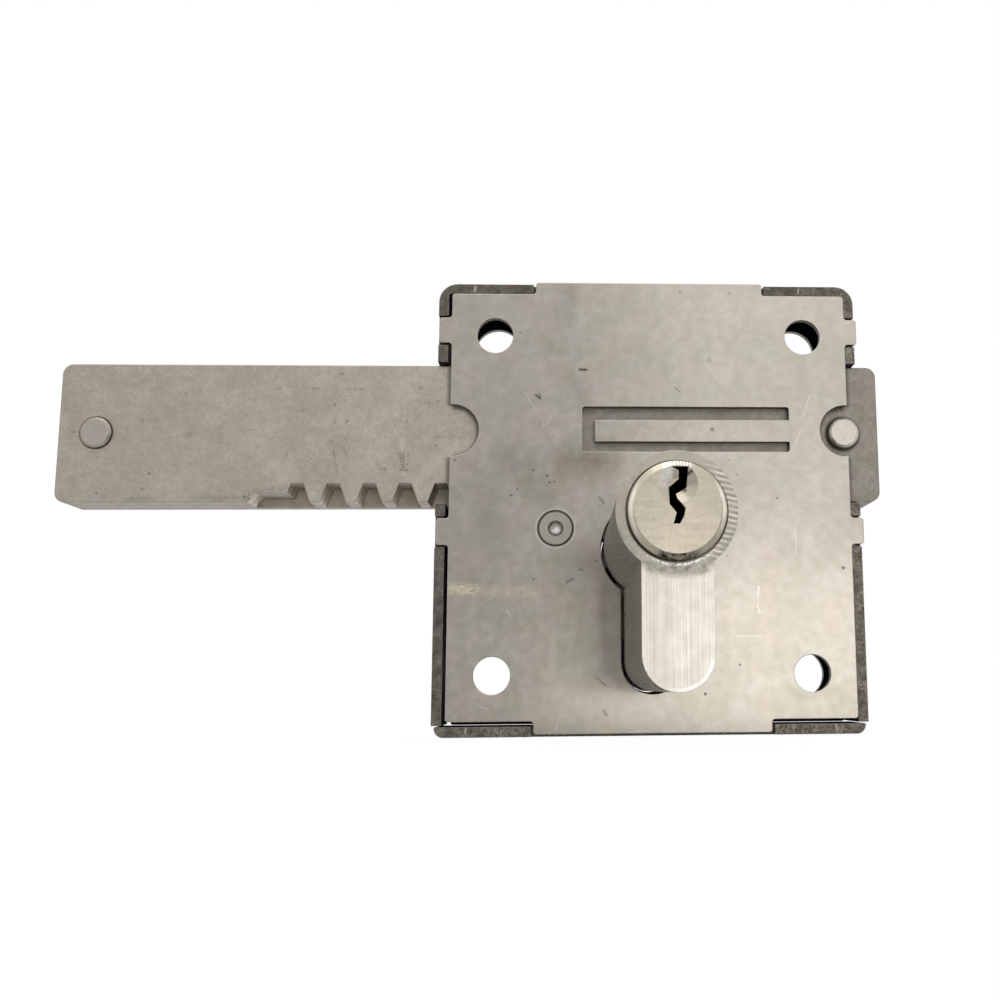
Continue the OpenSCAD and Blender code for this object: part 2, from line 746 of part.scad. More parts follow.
module back_stoppers() {
    stoppers(rear_y, -1, back_pin_cuts);
}

front_plate();
back_plate();
case_band();
bottom_strip();
spacer_pillar();
case_screws();
bolt_front_layer();
bolt_middle_layer();
bolt_rear_layer();
nose_pin();
stop_pin();
cylinder_body();
front_plug();
back_plug();
gear_cam();
front_clutch();
back_clutch();
front_circlip();
back_circlip();
front_key_pins();
back_key_pins();
front_driver_pins();
back_driver_pins();
front_springs();
back_springs();
front_stoppers();
back_stoppers();
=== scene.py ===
import math

import bpy
from bpy.props import FloatProperty, FloatVectorProperty, IntProperty, PointerProperty
from mathutils import Matrix, Vector


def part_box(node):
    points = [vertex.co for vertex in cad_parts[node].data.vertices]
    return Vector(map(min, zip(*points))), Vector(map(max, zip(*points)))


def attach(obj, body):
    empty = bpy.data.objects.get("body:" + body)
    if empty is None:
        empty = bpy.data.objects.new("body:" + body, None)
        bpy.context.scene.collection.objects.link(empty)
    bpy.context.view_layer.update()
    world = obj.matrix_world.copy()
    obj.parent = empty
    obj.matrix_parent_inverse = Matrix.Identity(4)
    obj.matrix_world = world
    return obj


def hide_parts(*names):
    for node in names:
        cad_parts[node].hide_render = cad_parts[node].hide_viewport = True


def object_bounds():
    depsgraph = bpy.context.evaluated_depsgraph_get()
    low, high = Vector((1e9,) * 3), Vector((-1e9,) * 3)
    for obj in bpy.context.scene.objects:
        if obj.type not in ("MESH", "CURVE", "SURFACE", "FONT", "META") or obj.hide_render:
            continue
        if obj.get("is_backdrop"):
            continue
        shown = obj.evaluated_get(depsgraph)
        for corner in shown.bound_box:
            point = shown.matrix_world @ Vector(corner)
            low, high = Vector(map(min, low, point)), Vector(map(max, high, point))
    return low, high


bl_info = {
    "name": "Gate deadbolt",
    "version": (1, 0, 0),
    "blender": (4, 5, 0),
    "location": "View3D > Sidebar > Deadbolt",
    "description": "Finishes, coil springs and studio for the packed gate deadbolt",
    "category": "Object",
}

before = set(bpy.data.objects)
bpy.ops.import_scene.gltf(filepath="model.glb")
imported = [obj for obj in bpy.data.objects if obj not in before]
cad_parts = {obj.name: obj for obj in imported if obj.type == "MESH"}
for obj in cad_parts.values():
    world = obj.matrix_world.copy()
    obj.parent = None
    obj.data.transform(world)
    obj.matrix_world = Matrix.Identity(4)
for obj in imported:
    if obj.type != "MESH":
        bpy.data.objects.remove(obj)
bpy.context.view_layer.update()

# Places on the lock, in millimetres. X runs right, Y to the back, Z up
MM = 0.001
AXIS_Z = -8.35                 # height of the cylinder's axis
FACE_Y = -54.2                 # depth of the cylinder's front face
BACK_Y = 35.8                  # depth of its back face
BAND_Y = 0.2                   # depth of the wall band's front edge
STEM_R = 5.0                   # radius of the cylinder stem's round end
STEM_END_Z = -27.85            # height of that end's centre
PLUG_R = 6.9                   # radius of the plug's head, with its bevel 0.9 wide
PLUG_SEAT_R = 6.42             # radius inside which the plug's shank is bare brass
LEAD_IN = (0, AXIS_Z + 3.95)   # centre of the cone round the keyway's top
SCREW = (-16.85, -4.7)
NOSE_PIN = (-97.35, 12.45)
STOP_PIN = (34.85, 12.45)
BOLT_SEAMS = (5.8, 9.8)        # depths at which the bolt's layers meet
PLATE_EDGE = 35.5              # half the front plate's width
NOTCH_X = 35.1                 # the plate's half-round notches: distance from the middle, height and radius
NOTCH_Z = 12.75
NOTCH_R = 4.65

TO_FRONT = (0, -1, 0)
TO_BACK = (0, 1, 0)
DOWN = (0, 0, -1)

# The camera stands where 50 measured points of the photograph put it, in millimetres
CAMERA_PLACE = (-16.094, -246.63, -31.936)
CAMERA_RIGHT = (0.998287, -0.057898, -0.008447)
CAMERA_AHEAD = (0.058431, 0.978937, 0.195624)
FOCAL_PIXELS = 1408.9
CENTRE_PIXEL = (642.7, 405.0)
PICTURE = 1000

# Name, place, aim and size in metres, power in watts, and colour
LAMPS = (
    ("tall softbox", (0.143, -0.6, 0.145), (0.143, 0, 0.145), (0.215, 0.43), 0.132, "#fffefd"),
    ("low strip", (0.12, -0.6, -0.03), (0.12, 0, -0.03), (0.18, 0.035), 0.15, "#fffdfb"),
    ("overhead lamp", (-0.1, -0.2, 0.9), (0, 0, 0), (0.8, 0.6), 1.0, "#ffffff"),
)
SKY_LIGHT = 0.55       # how much the sky lights a dull surface
ROOM_GLOSS = 0.48      # how bright the unlit front of the studio is in reflections
HIGH_GLOSS = 0.34      # how much brighter it gets upwards
FLOOR_FRONT = -0.208   # the floor ends here, below the camera's view
FLOOR_BACK = 8.0
FLOOR_GLOW = 1.06      # what the camera sees of the floor, so that it ends up white
FLOOR_SHOWN = 0.9      # share of that glow, the rest is paint that takes the shadow

# Marks measured in the photograph, in millimetres. A stroke is x, z of its start and end, width and strength
SHEET_STAINS = (
    (-14.3, 37.8, -15.6, 33.9, 4.0, 0.26), (-17.0, 29.0, -13.8, 20.0, 5.0, 0.18),
    (-13.2, 21.5, -12.4, 17.9, 3.0, 0.24), (-13.5, 7.2, -8.8, 7.0, 6.5, 0.62),
    (-24.5, 7.5, -19.0, 2.0, 6.0, 0.3), (-15.0, -12.0, -12.5, -27.0, 8.5, 0.36),
    (-31.0, 4.0, -27.0, -8.0, 6.0, 0.14), (-8.6, -14.5, -9.0, -24.5, 2.2, 0.3),
    (-21.0, -20.0, -19.0, -28.0, 6.0, 0.1), (22.9, -31.8, 25.9, -33.8, 1.8, 0.2),
)
SHEET_NICKS = (
    (-12.6, 23.8, -11.5, 23.76, 0.42, 0.85), (-20.4, 19.1, -19.7, 18.5, 0.36, 0.75),
    (-19.8, 19.3, -19.6, 18.6, 0.25, 0.6), (4.35, 20.6, 5.35, 19.83, 0.25, 0.4),
    (-12.7, -11.9, -12.2, -12.0, 0.35, 0.5), (-14.8, -14.1, -13.8, -13.6, 0.4, 0.5),
    (-9.19, 0.87, -8.32, -0.31, 0.3, 0.45), (-9.84, -30.4, -8.13, -31.81, 0.3, 0.4),
    (-8.57, -35.98, -8.0, -36.8, 0.28, 0.5),
)
SHEET_SCRATCHES = (
    (-25.28, -19.02, -24.27, -20.16, 0.2, 0.5), (-30.04, -34.95, -28.21, -35.66, 0.18, 0.6),
    (-29.0, -17.6, -27.6, -16.6, 0.16, 0.35), (-16.35, -38.26, -16.77, -39.08, 0.2, 0.6),
    (18.73, -14.94, 18.54, -16.67, 0.22, 0.6), (18.37, -17.96, 18.76, -19.54, 0.2, 0.5),
    (25.5, -4.03, 25.49, -9.3, 0.18, 0.35), (14.75, -23.52, 18.96, -23.54, 0.2, 0.3),
    (-22.5, 19.6, -20.8, 17.0, 0.14, 0.4), (-21.8, 18.1, -19.5, 15.5, 0.13, 0.4),
    (-19.5, 15.5, -19.0, 13.5, 0.12, 0.35), (25.7, 9.8, 27.1, 13.0, 0.2, 0.35),
    (27.4, 14.9, 28.8, 19.3, 0.25, 0.3), (-34.2, -36.9, -33.4, -36.2, 0.15, 0.4),
)
SHEET_HATCHED = (
    (-22.5, 19.0, -14.5, 11.0, 3.2, 0.6), (26.0, 9.5, 28.5, 18.0, 2.5, 0.5), (3.0, -28, 12, -24, 8, 0.2),
)
# A warm painted reflection of a lamp on the sheet, near its left edge
SHEET_LAMP_GLINT = (
    (-34.8, -15.35, -30.8, -15.4, 1.7, 0.95), (-30.8, -15.4, -20.7, -15.9, 1.6, 0.3),
)
BAND_TICKS = (
    (-31.53, 38.3, -31.45, 39.1, 0.28, 1), (27.3, 38.3, 27.35, 39.1, 0.24, 0.9),
    (-31.99, -38.8, -32.05, -39.6, 0.26, 1), (31.64, -38.8, 31.7, -39.7, 0.26, 1),
)
BOLT_SCUFFS = (
    (-66.6, 20.5, -65.5, 20.5, 0.4, 0.5), (-60.06, 20.5, -58.83, 20.5, 0.4, 0.55),
    (-54.6, 20.3, -51.0, 20.4, 0.5, 0.25), (-56.1, 14.9, -56.0, 14.3, 0.3, 0.55),
    (-56.02, 9.1, -55.36, 5.6, 0.3, 0.5), (-54.4, 10.1, -53.5, 7.85, 0.5, 0.25),
    (-45.45, 14.93, -45.42, 13.67, 0.26, 0.6), (-43.37, 14.9, -43.35, 14.2, 0.35, 0.45),
    (-44.41, 8.87, -43.96, 5.86, 0.26, 0.85), (-43.85, 8.87, -43.72, 5.98, 0.26, 0.8),
    (-44.33, 5.81, -43.1, 5.81, 0.28, 0.8), (-42.93, 8.87, -42.91, 7.86, 0.35, 0.35),
    (-47.65, 6.05, -46.92, 6.05, 0.3, 0.55), (-38.15, 10.4, -38.14, 10.0, 0.28, 0.6),
    (-38.37, 9.1, -38.35, 8.5, 0.26, 0.6), (-38.77, 4.85, -38.76, 4.2, 0.28, 0.6),
    (-39.0, 11.8, -33.9, 11.8, 0.35, 0.3), (-71.6, 1.2, -69.6, 0.4, 0.35, 0.9),
    (-70.9, 0.5, -70.2, 1.8, 0.3, 0.8), (-70.0, 2.2, -63.9, 2.5, 1.1, 0.3),
    (-79.3, 0.9, -70.9, 0.9, 0.8, 0.3), (-91.6, 0.5, -88.0, 0.8, 0.8, 0.3),
)
BOLT_BRIGHT = (
    (-44.1, 11.2, -44.1, 9.8, 0.9, 0.35), (-43.6, 5.2, -43.5, 5.1, 0.4, 0.5),
    (-37.9, 7.5, -41.5, 4.0, 2.0, 0.2),
)
# Strokes of the grey patch on the lower rim
RIM_GREY_STROKES = (
    (-3.4, -16.1, 3.6, -16.3, 1.5, 0.8), (3.6, -15.9, 4.4, -15.2, 1.0, 0.6),
)
CONE_FLUTES = (   # from the cone's centre
    (0.6, 0.4, 2.2, 1.5, 0.4, 0.9), (0.6, 0.9, 1.5, 2.1, 0.3, 0.8), (0.7, -0.8, 1.0, -1.2, 0.5, 0.8),
)
# A speck is x, z, radius and strength
SHEET_SPECKS = (
    (8.99, -33.35, 0.34, 0.95), (33.81, -11.81, 0.38, 0.85), (15.08, -28.48, 0.3, 0.7),
    (22.38, 0.61, 0.26, 0.7), (13.29, -9.61, 0.26, 0.45), (11.04, 12.94, 0.55, 0.5),
    (5.6, 38.23, 0.4, 0.35), (14.66, 38.09, 0.35, 0.3), (10.76, 25.67, 0.7, 0.22), (13.95, 7.36, 0.3, 0.3),
    (15.28, 4.83, 0.35, 0.35), (-24.62, 1.12, 0.3, 0.6), (-23.62, 2.2, 0.35, 0.4),
    (-17.95, 3.38, 0.35, 0.6), (-17.1, 3.5, 0.3, 0.5), (-16.75, -7.44, 0.35, 0.35),
    (-20.61, -13.62, 0.35, 0.5), (-20.8, 5.58, 0.35, 0.5), (-18.33, 4.58, 0.35, 0.6),
    (-34.56, 7.32, 0.35, 0.5), (-23.23, 30.55, 0.4, 0.3), (-9.65, -10.5, 0.35, 0.4),
)
BOLT_SPOTS = (
    (-101.14, 12.57, 0.32, 0.75), (-101.25, 22.55, 0.28, 0.4), (-96.63, 1.81, 0.32, 0.7),
    (-87.8, 5.16, 0.38, 0.75), (-88.9, 2.51, 0.6, 0.35), (-89.51, 14.63, 0.32, 0.45),
    (-82.17, 19.47, 0.5, 0.3), (-70.62, 12.99, 0.3, 0.6), (-79.14, 15.86, 0.4, 0.3),
    (-99.0, 4.75, 0.35, 0.35), (-97.68, 9.01, 0.3, 0.4), (-90.51, 0.64, 0.6, 0.4),
    (-81.26, 12.01, 0.9, 0.2), (-66.56, 22.56, 0.3, 0.5), (-55.08, 23.2, 0.38, 0.5),
    (-56.14, 17.6, 0.42, 0.5), (-61.7, 16.5, 0.6, 0.35), (-53.82, 14.6, 0.4, 0.55),
    (-56.6, 11.0, 0.55, 0.35), (-53.95, 11.25, 0.32, 0.4), (-64.26, 8.55, 0.5, 0.4),
    (-58.42, 9.23, 0.3, 0.5), (-40.97, 20.57, 0.4, 0.5), (-37.48, 20.58, 0.35, 0.5),
    (-39.42, 18.01, 0.35, 0.45), (-37.9, 18.27, 0.38, 0.6), (-48.3, 6.9, 0.4, 0.3), (-43.1, 6.9, 0.3, 0.5),
)
SOCKET_GLINTS = (   # from the screw's centre
    (0.2, -0.2, 0.7, 0.9), (-0.35, -0.35, 0.4, 0.7),
)


def linear(code):
    """An sRGB hex value as the linear colour that shaders take."""
    parts = [int(code[i:i + 2], 16) / 255 for i in (1, 3, 5)]
    return tuple(p / 12.92 if p <= 0.04045 else ((p + 0.055) / 1.055) ** 2.4 for p in parts)


def opaque(colour):
    """A hex value or a linear colour with its alpha. A socket stays as it is."""
    if isinstance(colour, bpy.types.NodeSocket):
        return colour
    return (*(linear(colour) if isinstance(colour, str) else colour[:3]), 1)


def add(tree, kind, inputs=None, out=None, **settings):
    """Adds a node with its settings and links, and returns its first live output, or the one named."""
    made = tree.nodes.new(kind)
    for name, value in settings.items():
        setattr(made, name, value)
    for key, value in (inputs or {}).items():
        socket = made.inputs[key] if isinstance(key, int) else next(
            s for s in made.inputs if s.enabled and s.name == key)
        if isinstance(value, bpy.types.NodeSocket):
            tree.links.new(value, socket)
        else:
            socket.default_value = value
    return made.outputs[out] if out else next(s for s in made.outputs if s.enabled)


class Finish:
    """A material under construction: its tree, its shader, and the place on the piece in millimetres."""

    def __init__(self, name, metallic=1.0):
        self.material = bpy.data.materials.new(name)
        self.material.use_nodes = True
        self.tree = self.material.node_tree
        self.tree.nodes.clear()
        self.shader = self.tree.nodes.new("ShaderNodeBsdfPrincipled")
        self.shader.inputs["Metallic"].default_value = metallic
        out = self.tree.nodes.new("ShaderNodeOutputMaterial")
        self.tree.links.new(self.shader.outputs[0], out.inputs[0])
        place = add(self.tree, "ShaderNodeTexCoord", out="Object")
        self.normal = place.node.outputs["Normal"]
        self.mm = add(self.tree, "ShaderNodeVectorMath", {0: place, "Scale": 1 / MM}, operation="SCALE")
        self.flat = add(self.tree, "ShaderNodeVectorMath", {0: self.mm, 1: (1, 0, 1)}, operation="MULTIPLY")
        split = add(self.tree, "ShaderNodeSeparateXYZ", {0: self.mm}, out="X").node
        self.x, self.y, self.z = split.outputs

    def join(self, operation, parts):
        """Joins masks or measures one after the other."""
        whole = parts[0]
        for part in parts[1:]:
            whole = add(self.tree, "ShaderNodeMath", {0: whole, 1: part}, operation=operation)
        return whole

    def all_of(self, *masks):
        """Where all the masks hold, each by its strength."""
        return self.join("MULTIPLY", masks)

    def any_of(self, *masks):
        """Where one of the masks holds, the strongest at each place."""
        return self.join("MAXIMUM", masks)

    def sum_of(self, *heights):
        """Reliefs or roughnesses on top of each other."""
        return self.join("ADD", heights)

    def outside(self, mask):
        """Where a mask doesn't hold."""
        return self.join("SUBTRACT", (1.0, mask))

    def apart(self, measure, figure):
        """How far a measure is from a figure, to either side."""
        gap = self.join("SUBTRACT", (measure, figure))
        return add(self.tree, "ShaderNodeMath", {0: gap}, operation="ABSOLUTE")

    def reach(self, x, z):
        """How far the place is from an axis along Y."""
        return add(self.tree, "ShaderNodeVectorMath", {0: self.flat, 1: (x, 0, z)}, "Value", operation="DISTANCE")

    def wave(self, measure, length):
        """Ridges of a length along a measure, from -1 to 1."""
        turned = self.all_of(measure, 2 * math.pi / length)
        return add(self.tree, "ShaderNodeMath", {0: turned}, operation="SINE")

    def fade(self, measure, start, end, low=0.0, high=1.0, smooth=False):
        """A mask that goes from low to high while the measure goes from start to end."""
        return add(self.tree, "ShaderNodeMapRange",
                   {"Value": measure, "From Min": start, "From Max": end, "To Min": low, "To Max": high},
                   interpolation_type="SMOOTHSTEP" if smooth else "LINEAR")

    def grain(self, size, low, high, stretch=(1, 1, 1), detail=3.0, width=0.2):
        """Noise of a grain size in millimetres, spread to low..high."""
        at = add(self.tree, "ShaderNodeVectorMath", {0: self.mm, 1: stretch}, operation="MULTIPLY")
        noise = add(self.tree, "ShaderNodeTexNoise", {"Vector": at, "Scale": 1 / size, "Detail": detail})
        return self.fade(noise, 0.5 - width, 0.5 + width, low, high)

    def facing(self, direction, start=0.7, end=0.95):
        """1 on the faces that look along a direction, 0 on the others."""
        same = add(self.tree, "ShaderNodeVectorMath", {0: self.normal, 1: direction}, "Value",
                   operation="DOT_PRODUCT")
        return self.fade(same, start, end)

    def edges(self, radius):
        """The normal with rounded edges, and a mask of those edges."""
        soft = add(self.tree, "ShaderNodeBevel", {"Radius": radius * MM}, samples=8)
        sharp = add(self.tree, "ShaderNodeNewGeometry", out="Normal")
        same = add(self.tree, "ShaderNodeVectorMath", {0: soft, 1: sharp}, "Value", operation="DOT_PRODUCT")
        return soft, self.fade(same, 0.995, 0.8)

    def ring(self, x, z, radius, width):
        """A soft ring round an axis along Y."""
        return self.fade(self.apart(self.reach(x, z), radius), 0, width, 1, 0, smooth=True)

    def strokes(self, marks, at=(0, 0)):
        """Soft strokes, placed from a point."""
        drawn = []
        for x0, z0, x1, z1, width, strength in marks:
            along = Vector((x1 - x0, 0, z1 - z0))
            start = {0: self.flat, 1: (x0 + at[0], 0, z0 + at[1])}
            start = add(self.tree, "ShaderNodeVectorMath", start, operation="SUBTRACT")
            share = add(self.tree, "ShaderNodeVectorMath", {0: start, 1: along / along.length_squared}, "Value",
                        operation="DOT_PRODUCT")
            nearest = add(self.tree, "ShaderNodeVectorMath", {0: along, "Scale": self.fade(share, 0, 1)},
                          operation="SCALE")
            gap = add(self.tree, "ShaderNodeVectorMath", {0: start, 1: nearest}, "Value", operation="DISTANCE")
            drawn.append(self.fade(gap, 0, width, strength, 0, smooth=True))
        return self.any_of(*drawn)

    def specks(self, marks, at=(0, 0)):
        """Soft round spots, placed from a point."""
        return self.any_of(*[
            self.fade(self.reach(x + at[0], z + at[1]), radius * 0.3, radius, strength, 0)
            for x, z, radius, strength in marks])

    def shade(self, tone, factor):
        """The tone made lighter or darker by a factor round 1."""
        tone = tone if isinstance(tone, bpy.types.NodeSocket) else opaque(tone)[:3]
        return add(self.tree, "ShaderNodeVectorMath", {0: tone, "Scale": factor}, operation="SCALE")

    def coat(self, tone, colour, *masks):
        """Lays a colour over the tone where all the masks hold."""
        values = {"Factor": self.all_of(*masks), "A": opaque(tone), "B": opaque(colour)}
        return add(self.tree, "ShaderNodeMix", values, data_type="RGBA")

    def finish(self, tone, rough, height, depth, soft):
        """Sets the shader's colour, roughness and relief, the depth in millimetres."""
        self.tree.links.new(tone, self.shader.inputs["Base Color"])
        self.tree.links.new(rough, self.shader.inputs["Roughness"])
        bump = add(self.tree, "ShaderNodeBump", {
            "Height": height, "Strength": 1.0, "Distance": depth * MM, "Normal": soft})
        self.tree.links.new(bump, self.shader.inputs["Normal"])
        return self.material


def rolled_stainless(colour):
    """Cold rolled stainless sheet, laser cut: a dull even sheen, handling stains and a darker cut edge."""
    f = Finish("rolled stainless sheet")
    soft, edge = f.edges(0.2)
    front = f.facing(TO_FRONT)
    cut = f.outside(f.any_of(front, f.facing(TO_BACK)))
    # Clouds in pink, green and brown. The rolled grain is finer than the 0.25 mm that shows
    tone = f.shade(colour, f.grain(17, 0.93, 1.05, detail=2))
    tone = f.shade(tone, f.grain(0.25, 0.91, 1.08, detail=4))
    tone = f.coat(tone, "#c6b4a9", f.grain(6, 0, 0.34, detail=4, width=0.14))
    tone = f.coat(tone, "#adb0a0", f.grain(7.5, 0, 0.34, detail=4, width=0.12))
    tone = f.coat(tone, "#8a8272", f.grain(1.9, 0, 0.14, detail=4, width=0.12))
    # Brown handling stains, broken up by the grain, and dark specks and nicks
    tone = f.coat(tone, "#6c614d", front, f.grain(3.0, 0.45, 1.0), f.strokes(SHEET_STAINS))
    tone = f.coat(tone, "#2c2925", front, f.any_of(f.specks(SHEET_SPECKS), f.strokes(SHEET_NICKS)))
    # Light scratches and hatching, and a warm painted reflection of a lamp near the left edge, streaked along the
    # grain
    scratched = f.all_of(front, f.any_of(f.strokes(SHEET_SCRATCHES), hatching(f)))
    tone = f.coat(tone, "#ece8df", scratched)
    tone = f.coat(tone, "#fff0cc", front, f.grain(0.35, 0, 1, stretch=(0.3, 1, 1)), f.strokes(SHEET_LAMP_GLINT))
    # A painted highlight along the edges, and round the screw a painted shadow in its gap with a painted highlight
    # on the rim beside it
    tone = f.coat(tone, "#e9e6df", front, f.ring(*SCREW, 3.42, 0.3), 0.4)
    tone = f.coat(tone, "#efece6", edge, 0.5)
    tone = f.coat(tone, "#1d1a17", front, f.ring(*SCREW, 3.05, 0.32), 0.95)
    # The laser leaves a brown oxide on the cut faces. Inside the case the back plate is painted near black, a
    # painted shade, and made rougher
    tone = f.coat(tone, "#5d564d", cut, 0.8)
    inside = f.all_of(front, f.fade(f.y, BAND_Y + 4, BAND_Y + 8))
    tone = f.coat(tone, "#26282a", inside)
    height = f.sum_of(f.grain(0.45, 0, 0.25, detail=4), f.all_of(scratched, -0.6))
    rough = f.sum_of(f.grain(1.6, 0.18, 0.25, detail=4), f.all_of(f.any_of(cut, inside), 0.35))
    return f.finish(tone, rough, height, 0.0016, soft)


def hatching(f):
    """Fine parallel scratches, 0.2 mm apart and drawn at a slant."""
    slanted = add(f.tree, "ShaderNodeVectorRotate", {"Vector": f.mm, "Angle": math.radians(-42)},
                  rotation_type="Y_AXIS")
    drawn = add(f.tree, "ShaderNodeVectorMath", {0: slanted, 1: (5.5, 1, 0.16)}, operation="MULTIPLY")
    lines = add(f.tree, "ShaderNodeTexNoise", {"Vector": drawn, "Scale": 1.0, "Detail": 1.0})
    return f.all_of(f.strokes(SHEET_HATCHED), f.fade(lines, 0.6, 0.68, 0, 0.55))


def mill_scale(colour):
    """Hot rolled mild steel: a dark oxide skin, mottled brown and grey, worn bright along its edges and given a
    painted highlight there.
    """
    f = Finish("hot rolled steel with mill scale", 0.55)
    soft, edge = f.edges(0.22)
    tone = f.coat(colour, "#7d7971", f.grain(1.7, 0, 1, detail=6))
    tone = f.coat(tone, "#564a3e", f.grain(2.6, 0, 0.5, detail=5, width=0.12))
    # The strip at the bottom and the right wall are scraped paler, in flecks of a third of a millimetre
    scraped = f.any_of(f.fade(f.z, -36, -39), f.fade(f.x, 30, 35, 0, 0.8))
    flecks = f.all_of(f.grain(0.33, 0, 0.85, detail=5, width=0.14), f.grain(3.4, 0.35, 1, width=0.1))
    tone = f.coat(tone, "#b3aa9b", flecks, f.sum_of(f.all_of(scraped, 0.65), 0.35))
    # Painted shade: the walls' inner faces are coloured near black, and made rougher
    side = f.outside(f.any_of(f.facing(TO_FRONT, 0.1, 0.5), f.facing(TO_BACK, 0.1, 0.5)))
    outward = add(f.tree, "ShaderNodeVectorMath", {0: f.normal, 1: f.flat}, "Value", operation="DOT_PRODUCT")
    inward = f.all_of(f.fade(outward, -5, -15), side)
    tone = f.coat(tone, "#15140f", inward, 0.85)
    # Painted highlights: the small notches across the band's edge are drawn as the light they catch, and the edges,
    # partly worn to bare metal, are drawn bright
    ticks = f.all_of(f.facing(TO_FRONT), f.strokes(BAND_TICKS))
    worn = f.all_of(edge, f.grain(1.2, 0.3, 0.9), f.outside(inward))
    tone = f.coat(tone, "#cfcac0", f.any_of(ticks, worn))
    rough = f.sum_of(f.grain(1.3, 0.36, 0.58), f.all_of(inward, 0.35))
    return f.finish(tone, rough, f.grain(0.45, 0, 1, detail=5), 0.035, soft)


def blasted_stainless(colour):
    """Cut stainless plate with a blasted, tumbled skin: matt, pinkish grey, faintly cloudy, with small pits."""
    f = Finish("blasted stainless plate")
    soft, edge = f.edges(0.3)
    front = f.facing(TO_FRONT)
    # The blasting grit is about 0.1 mm, too fine to show, so it is drawn at 0.24 mm
    tone = f.shade(f.shade(colour, f.grain(9, 0.94, 1.06, detail=3)), f.grain(0.24, 0.87, 1.13, detail=5))
    tone = f.coat(tone, "#aca58f", f.grain(5, 0, 0.3, detail=4, width=0.12))
    tone = f.coat(tone, "#bba8a0", f.grain(3.1, 0, 0.22, detail=4, width=0.1))
    tone = f.coat(tone, "#7a746a", f.grain(1.1, 0, 0.12, detail=4, width=0.1))
    cells = add(f.tree, "ShaderNodeTexVoronoi", {"Vector": f.mm, "Scale": 1 / 4.5, "Randomness": 1.0})
    pits = f.all_of(f.fade(cells, 0.05, 0.02), f.grain(11, 0, 0.7, width=0.12))
    tone = f.coat(tone, "#4b463f", pits)
    # Dark spots and scuffs, broken up by the grain, and a few bright rubs
    spots = f.all_of(f.specks(BOLT_SPOTS), f.grain(0.3, 0.35, 1, width=0.12))
    scuffs = f.all_of(f.strokes(BOLT_SCUFFS), f.grain(0.34, 0.15, 1, detail=4, width=0.12), 0.9)
    tone = f.coat(tone, "#453f37", front, f.any_of(scuffs, spots))
    tone = f.coat(tone, "#e2dbcf", front, f.strokes(BOLT_BRIGHT))
    # Painted shade: the part that runs inside the case is darker, and so is the underside, with a painted shadow of
    # the plate's edge along the case's mouth
    tone = f.shade(tone, f.fade(f.x, -34, -26, 1.0, 0.62, smooth=True))
    tone = f.shade(tone, f.outside(f.all_of(f.facing(DOWN), 0.45)))
    tone = f.coat(tone, "#3b362f", front, f.any_of(plate_edge_shadow(f, -1), plate_edge_shadow(f, 1)))
    # Dark seams round the pins, drawn wider than their gaps as painted shade, and a painted highlight along the
    # edges
    seams = f.any_of(f.ring(*NOSE_PIN, 2.8, 0.3), f.ring(*STOP_PIN, 2.95, 0.55))
    tone = f.coat(tone, "#332e28", front, seams, 0.8)
    tone = f.coat(tone, "#c9c3b9", edge, 0.28)
    # The three layers meet in two fine dark lines along the bolt's edges
    joints = f.any_of(*[f.fade(f.apart(f.y, depth), 0.08, 0.3, 0.85, 0) for depth in BOLT_SEAMS])
    tone = f.coat(tone, "#38332d", joints, f.outside(f.any_of(front, f.facing(TO_BACK))))
    height = f.sum_of(f.grain(0.5, 0, 1, detail=5), f.all_of(pits, -2.0))
    return f.finish(tone, f.grain(2.2, 0.42, 0.54, detail=4), height, 0.012, soft)


def plate_edge_shadow(f, side):
    """Painted shadow of the plate's edge on the bolt where the case ends, -1 left or 1 right: a straight line, and
    an arc in the plate's notch.
    """
    across = f.all_of(f.x, side)
    straight = f.all_of(f.fade(f.apart(across, PLATE_EDGE + 0.35), 0.15, 0.75, 0.5, 0),
                        f.fade(f.apart(f.z, NOTCH_Z), NOTCH_R - 0.2, NOTCH_R + 0.2))
    arc = f.all_of(f.fade(across, PLATE_EDGE, PLATE_EDGE - 0.6), f.ring(side * NOTCH_X, NOTCH_Z, NOTCH_R - 0.1, 0.8))
    return f.any_of(straight, f.all_of(arc, 0.6))


def ground_stainless(name, colour, rough, ridge, socket=None):
    """Turned or ground stainless rod: brighter than plate, with a painted highlight on its edges; a screw gets
    painted shade round its head and in its socket, and painted glints.
    """
    f = Finish(name)
    soft, edge = f.edges(0.12)
    tone = f.shade(colour, f.grain(1.4, 0.93, 1.05, detail=4))
    # Painted highlight along the edges
    tone = f.coat(tone, "#e8e5de", edge, 0.5)
    # A screw gets painted shade in the gap round its head and in its socket, and painted glints in the socket
    if socket:
        tone = f.coat(tone, "#1d1a17", f.any_of(f.ring(*socket, 2.98, 0.3), f.ring(*socket, 1.2, 0.3)), 0.85)
        tone = f.coat(tone, "#ffffff", f.specks(SOCKET_GLINTS, socket))
    return f.finish(tone, f.grain(0.8, rough - 0.05, rough + 0.07), f.grain(ridge, 0, 1), 0.006, soft)


